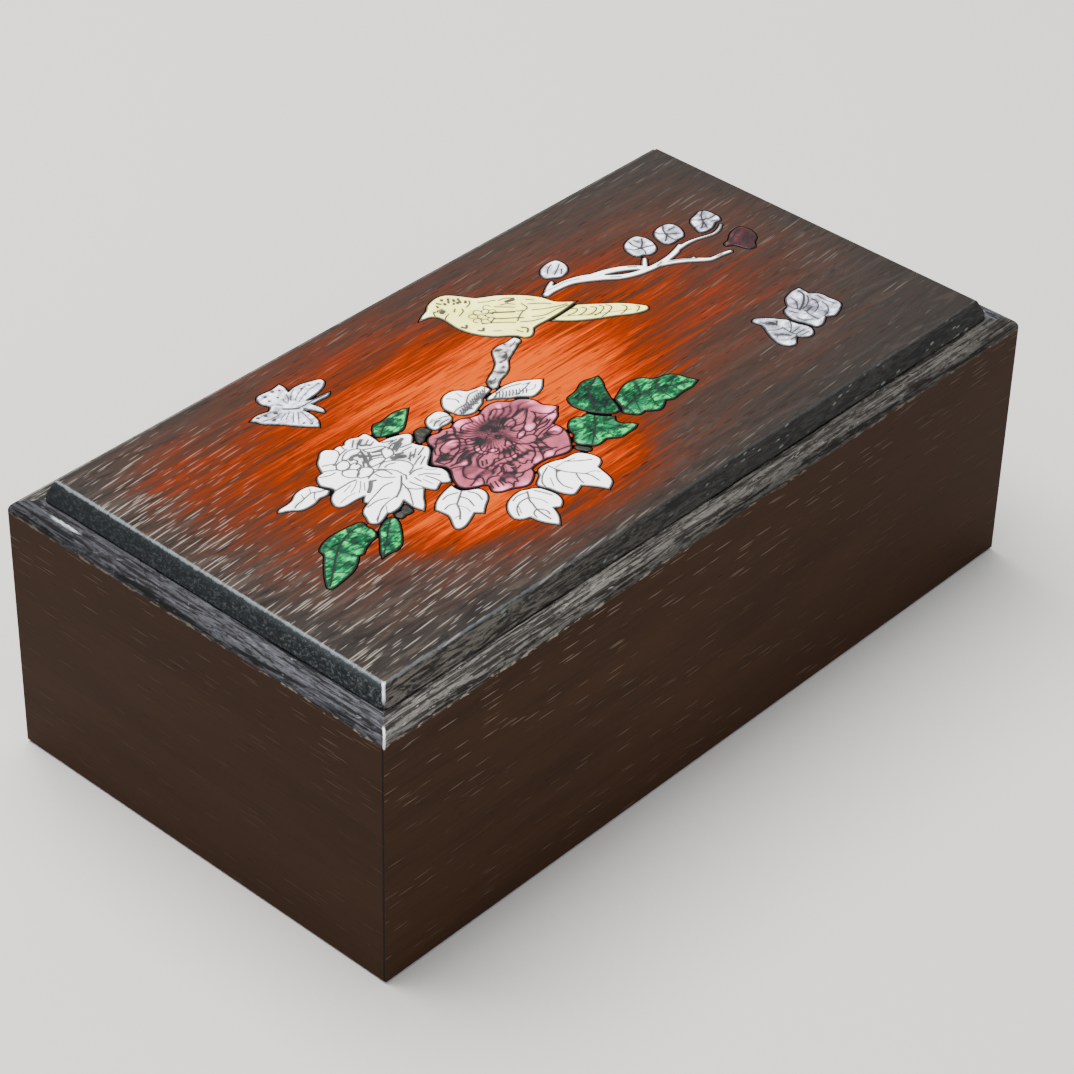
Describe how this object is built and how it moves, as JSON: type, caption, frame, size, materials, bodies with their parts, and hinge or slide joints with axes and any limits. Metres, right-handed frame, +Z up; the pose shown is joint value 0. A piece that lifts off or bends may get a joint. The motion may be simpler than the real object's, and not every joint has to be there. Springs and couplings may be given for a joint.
{
  "type": "inlaid wooden box",
  "caption": "Rectangular lacquered wooden box with mitred sides, rounded rim and a raised lift-off lid inlaid with a bird, peonies, leaves and butterflies.",
  "frame": {"origin": "centre of the footprint, on the surface that the box stands on", "axes": "+X along the length towards the right end board, +Y from the front board towards the back board, +Z up, the way the lid lifts"},
  "size_m": [0.26, 0.14, 0.0893],
  "materials": {
    "dark_lacquered_wood": "satin dark lacquer over open-pored wood, worn grey at the rim",
    "sunburst_lacquered_wood": "orange lacquer shaded to near black at the edges, open pores",
    "plain_wood": "unlacquered hardwood",
    "white_shell": "polished engraved shell, inked lines",
    "grey_pearl": "polished grey mother-of-pearl, inked lines",
    "cream_shell": "polished cream shell, inked lines",
    "pink_shell": "polished stained shell, inked lines",
    "green_shell": "polished stained shell with light streaks",
    "dark_stone": "polished dark stone",
    "purple_stone": "polished dark red stone"
  },
  "bodies": {
    "box": {"front_board": "dark_lacquered_wood", "back_board": "dark_lacquered_wood", "left_end_board": "dark_lacquered_wood", "right_end_board": "dark_lacquered_wood", "bottom_panel": "plain_wood", "mitre_key_front_left": "plain_wood", "mitre_key_front_right": "plain_wood", "mitre_key_back_left": "plain_wood", "mitre_key_back_right": "plain_wood"},
    "lid": {"lid_panel": "sunburst_lacquered_wood", "lid_strip_front": "plain_wood", "lid_strip_back": "plain_wood", "lid_strip_left": "plain_wood", "lid_strip_right": "plain_wood", "bird_body": "cream_shell", "bird_tail": "cream_shell", "perch_stump": "grey_pearl", "plum_branch": "white_shell", "plum_bud": "grey_pearl", "plum_blossom_near": "grey_pearl", "plum_blossom_mid": "grey_pearl", "plum_blossom_far": "grey_pearl", "plum_blossom_dark": "purple_stone", "pink_peony": "pink_shell", "white_peony": "white_shell", "back_petal_left": "white_shell", "back_petal_mid": "white_shell", "back_petal_right": "white_shell", "white_leaf_tip": "white_shell", "white_leaf_left": "white_shell", "white_leaf_front": "white_shell", "white_leaf_right": "white_shell", "green_leaf_top": "green_shell", "green_leaf_upper": "green_shell", "green_leaf_lower": "green_shell", "green_leaf_long": "green_shell", "green_leaf_big": "green_shell", "green_leaf_small": "green_shell", "sepal_left": "dark_stone", "sepal_mid": "dark_stone", "sepal_right": "dark_stone", "butterfly_left": "grey_pearl", "butterfly_right_tail": "grey_pearl", "butterfly_right_wings": "grey_pearl"}
  },
  "joints": [
    {"name": "lid_lift", "type": "slide", "parent": "box", "child": "lid", "axis": [0, 0, 1], "range_m": [0, 0.1]}
  ]
}
